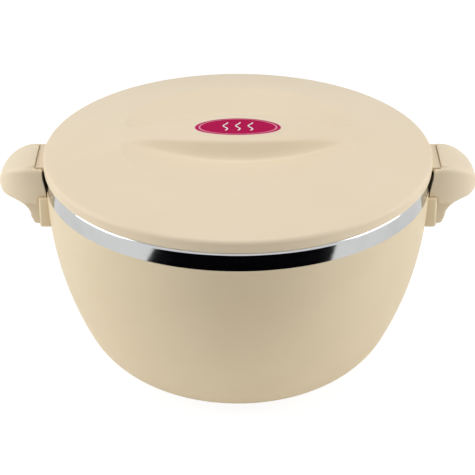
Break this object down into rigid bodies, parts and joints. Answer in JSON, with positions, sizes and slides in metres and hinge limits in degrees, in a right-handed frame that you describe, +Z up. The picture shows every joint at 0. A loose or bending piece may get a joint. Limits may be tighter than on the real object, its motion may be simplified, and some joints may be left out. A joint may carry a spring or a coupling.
{
  "type": "insulated casserole",
  "caption": "Round foam-insulated serving casserole for flatbreads, with a steel lining, two side handles and a lift-off lid with a bridge grip.",
  "frame": {"origin": "centre of the foot, on the surface that the casserole stands on", "axes": "+Z up along the bowl's axis, +X towards the right handle, -Y towards the front"},
  "size_m": [0.3084, 0.25, 0.1609],
  "materials": {
    "casing_plastic": "moulded polypropylene, satin gloss",
    "handle_plastic": "moulded polypropylene, satin gloss",
    "lid_plastic": "moulded polypropylene, satin gloss",
    "plug_plastic": "moulded polypropylene",
    "bowl_steel": "polished stainless steel",
    "liner_steel": "stainless steel",
    "foam": "rigid polyurethane foam",
    "gasket_silicone": "silicone rubber",
    "badge": null
  },
  "bodies": {
    "base": {"outer_shell": "casing_plastic", "inner_bowl": "bowl_steel", "base_insulation": "foam", "base_fill_plug": "plug_plastic", "left_handle": "handle_plastic", "right_handle": "handle_plastic"},
    "lid": {"lid_cover": "lid_plastic", "lid_liner": "liner_steel", "lid_insulation": "foam", "lid_gasket": "gasket_silicone", "lid_fill_plug": "plug_plastic", "lid_badge": "badge"}
  },
  "joints": [
    {"name": "lid_lift", "type": "slide", "parent": "base", "child": "lid", "axis": [0, 0, 1], "range_m": [0, 0.12]}
  ]
}
